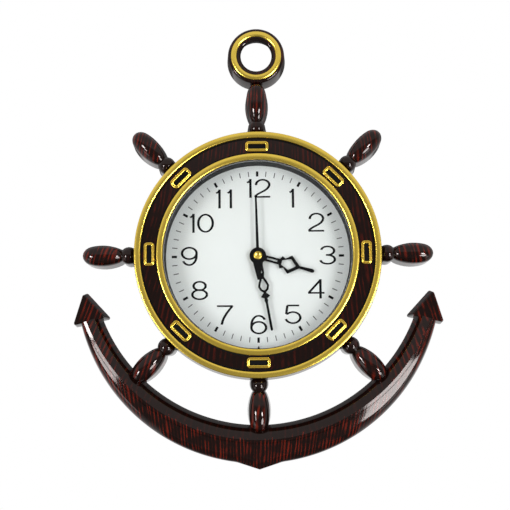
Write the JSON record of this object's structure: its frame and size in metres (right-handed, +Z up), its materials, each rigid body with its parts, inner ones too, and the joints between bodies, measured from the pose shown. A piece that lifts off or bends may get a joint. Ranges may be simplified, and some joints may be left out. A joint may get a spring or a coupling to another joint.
{
  "type": "wall clock",
  "caption": "Quartz wall clock shaped like a ship's steering wheel lying on an anchor, with gold edge rings, a white numbered dial and three pierced hands.",
  "frame": {"origin": "where the hands' axis meets the wall plane", "axes": "+X to the viewer's right, +Z up, the dial faces -Y and the wall lies at y = 0"},
  "size_m": [0.3118, 0.044, 0.372],
  "materials": {
    "grain_plastic": "dark brown moulded plastic with red-brown wood grain, satin gloss",
    "gold_plating": "pale gold metallised plastic, polished",
    "clear_lens": "clear polished sheet",
    "white_dial": "white printed card, matt satin",
    "black_hands": "black lacquered thin aluminium",
    "black_plastic": "black moulded plastic, fine texture",
    "white_plastic": "pale moulded plastic",
    "gear_plastic": "natural acetal",
    "brass_part": "turned brass",
    "steel": "bright plated steel",
    "copper_wire": "lacquered copper winding",
    "rubber_black": "soft black rubber",
    "battery_skin": "plain wrapped metal can",
    "board": "green circuit board"
  },
  "bodies": {
    "root": {"wheel_case": "grain_plastic", "outer_gold_ring": "gold_plating", "inner_gold_ring": "gold_plating", "buckles": "gold_plating", "eye_ring": "grain_plastic", "eye_gold_ring": "gold_plating", "anchor_arms": "grain_plastic", "left_fluke": "grain_plastic", "right_fluke": "grain_plastic", "upper_handles": "grain_plastic", "lower_handles": "grain_plastic", "lens": "clear_lens", "spacer_ring": "black_plastic", "dial": "white_dial", "back_case": "black_plastic", "back_case_screws": "steel", "movement_case": "black_plastic", "middle_plate": "white_plastic", "movement_cover": "black_plastic", "hex_nut": "brass_part", "rubber_washer": "rubber_black", "stator": "steel", "coil": "copper_wire", "circuit_board": "board", "quartz_crystal": "steel", "positive_contact": "steel", "negative_contact": "steel"},
    "seconds": {"seconds_wheel": "gear_plastic", "second_hand": "black_hands", "second_hand_cap": "brass_part"},
    "rotor": {"rotor": "steel"},
    "fifth": {"fifth_wheel": "gear_plastic"},
    "third": {"third_wheel": "gear_plastic"},
    "centre": {"centre_wheel": "gear_plastic"},
    "minute": {"minute_pipe": "gear_plastic", "minute_hand": "black_hands"},
    "motion": {"motion_wheel": "gear_plastic"},
    "hour": {"hour_wheel": "gear_plastic", "hour_hand": "black_hands"},
    "knob": {"setting_knob": "white_plastic"},
    "battery": {"battery": "battery_skin"}
  },
  "joints": [
    {"name": "seconds_spin", "type": "hinge", "parent": "root", "child": "seconds", "pos_m": [0, 0, 0], "axis": [0, 1, 0], "continuous": true},
    {"name": "rotor_spin", "type": "hinge", "parent": "root", "child": "rotor", "pos_m": [-0.01298, 0, 0.00458], "axis": [0, 1, 0], "continuous": true},
    {"name": "fifth_spin", "type": "hinge", "parent": "root", "child": "fifth", "pos_m": [-0.0084, 0, 0], "axis": [0, 1, 0], "continuous": true},
    {"name": "third_spin", "type": "hinge", "parent": "root", "child": "third", "pos_m": [0.0108, 0, 0], "axis": [0, 1, 0], "continuous": true},
    {"name": "centre_spin", "type": "hinge", "parent": "root", "child": "centre", "pos_m": [0, 0, 0], "axis": [0, 1, 0], "continuous": true},
    {"name": "minute_spin", "type": "hinge", "parent": "root", "child": "minute", "pos_m": [0, 0, 0], "axis": [0, 1, 0], "continuous": true},
    {"name": "motion_spin", "type": "hinge", "parent": "root", "child": "motion", "pos_m": [0, 0, 0.008], "axis": [0, 1, 0], "continuous": true},
    {"name": "hour_spin", "type": "hinge", "parent": "root", "child": "hour", "pos_m": [0, 0, 0], "axis": [0, 1, 0], "continuous": true},
    {"name": "knob_spin", "type": "hinge", "parent": "root", "child": "knob", "pos_m": [0.00566, 0, 0.01366], "axis": [0, 1, 0], "continuous": true},
    {"name": "battery_slide", "type": "slide", "parent": "root", "child": "battery", "axis": [0, 1, 0], "range_m": [0, 0.016]}
  ],
  "couplings": [
    {"joint": "rotor_spin", "follows": "seconds_spin", "ratio": 30},
    {"joint": "fifth_spin", "follows": "seconds_spin", "ratio": -6},
    {"joint": "third_spin", "follows": "seconds_spin", "ratio": -0.13333},
    {"joint": "centre_spin", "follows": "seconds_spin", "ratio": 0.016667},
    {"joint": "motion_spin", "follows": "minute_spin", "ratio": -0.33333},
    {"joint": "hour_spin", "follows": "minute_spin", "ratio": 0.083333},
    {"joint": "knob_spin", "follows": "minute_spin", "ratio": 1}
  ]
}
